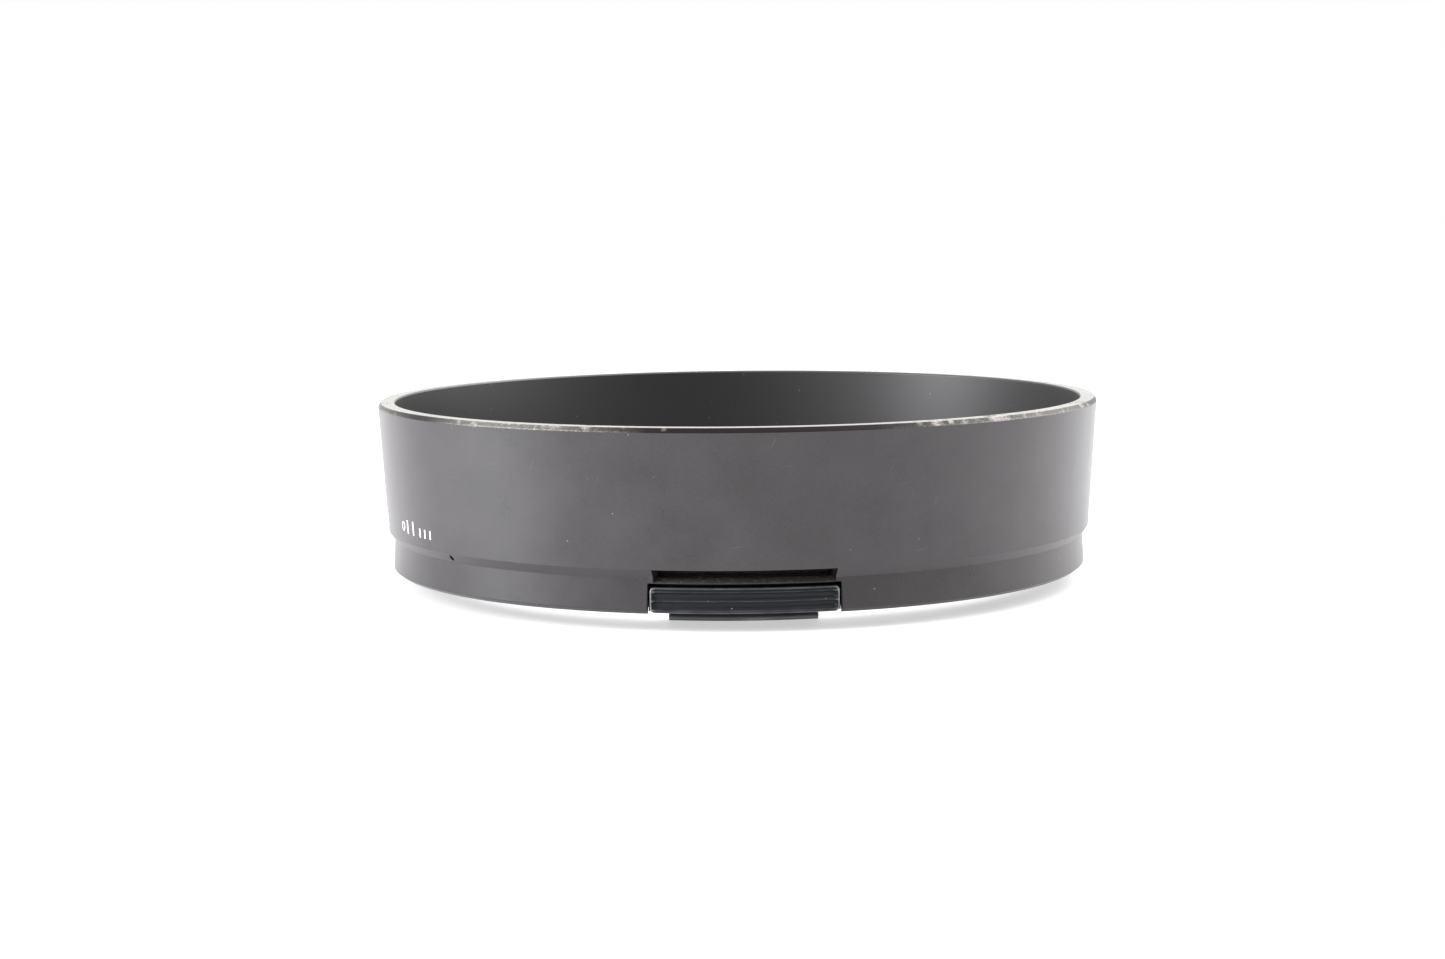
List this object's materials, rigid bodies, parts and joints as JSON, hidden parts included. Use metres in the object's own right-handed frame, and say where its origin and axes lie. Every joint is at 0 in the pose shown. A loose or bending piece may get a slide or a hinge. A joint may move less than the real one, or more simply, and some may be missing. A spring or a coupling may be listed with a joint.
{
  "type": "lens hood",
  "caption": "Round clip-on lens hood: shallow flared skirt, open aperture, and ribbed spring-loaded buttons in the rear band that draw in threaded claws gripping a lens's filter thread.",
  "frame": {"origin": "on the optical axis, in the plane of the claw tips on which the hood stands", "axes": "+Z along the optical axis from the lens side to the front opening, -Y through the front release button"},
  "size_m": [0.0686, 0.0686, 0.0175],
  "materials": {
    "hood_plastic": "satin moulded black plastic, polished by handling",
    "plate_plastic": "fine matte black plastic",
    "button_plastic": "satin blue-black plastic with worn edges",
    "jaw_metal": "blackened metal, rubbed on the thread crests",
    "spring_steel": "drawn spring wire",
    "screw_steel": "blackened steel",
    "print_white": "white pad-printed marks"
  },
  "bodies": {
    "hood": {"hood_shell": "hood_plastic", "rear_plate": "plate_plastic", "return_spring_front_left": "spring_steel", "return_spring_front_right": "spring_steel", "return_spring_rear_left": "spring_steel", "return_spring_rear_right": "spring_steel", "plate_screw_1": "screw_steel", "plate_screw_2": "screw_steel", "plate_screw_3": "screw_steel", "plate_screw_4": "screw_steel"},
    "front_catch": {"release_button_front": "button_plastic", "catch_jaw_front": "jaw_metal"},
    "rear_catch": {"release_button_rear": "button_plastic", "catch_jaw_rear": "jaw_metal"}
  },
  "joints": [
    {"name": "front_release", "type": "slide", "parent": "hood", "child": "front_catch", "axis": [0, 1, 0], "range_m": [0, 0.001], "stiffness_N_per_m": 1500, "springref_m": -0.0008, "deforming": ["return_spring_front_left", "return_spring_front_right"]},
    {"name": "rear_release", "type": "slide", "parent": "hood", "child": "rear_catch", "axis": [0, -1, 0], "range_m": [0, 0.001], "stiffness_N_per_m": 1500, "springref_m": -0.0008, "deforming": ["return_spring_rear_left", "return_spring_rear_right"]}
  ]
}
